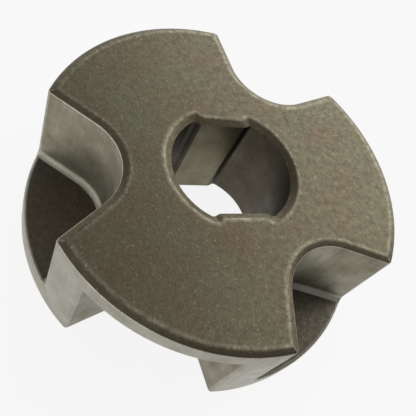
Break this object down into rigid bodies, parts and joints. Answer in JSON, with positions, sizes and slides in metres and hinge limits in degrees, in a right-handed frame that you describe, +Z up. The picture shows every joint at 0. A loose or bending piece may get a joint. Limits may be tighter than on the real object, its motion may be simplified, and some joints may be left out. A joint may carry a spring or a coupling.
{
  "type": "chainsaw drive sprocket",
  "caption": "Sintered steel drive sprocket for a small electric chainsaw, with rounded gullets open to either face in turn, closing flanges and a bore with driving flats.",
  "frame": {"origin": "on the axis of the bore, in the plane of the bottom face", "axes": "+Z up along the shaft; the flats of the bore run along X; the middle of one upper gullet is on -X"},
  "size_m": [0.0304, 0.0304, 0.0101],
  "materials": {
    "sintered_steel": "pressed and sintered steel, steam-oxidised olive brown on the faces, burnished grey on the rim"
  },
  "bodies": {
    "root": {"drive_sprocket": "sintered_steel"}
  },
  "joints": []
}
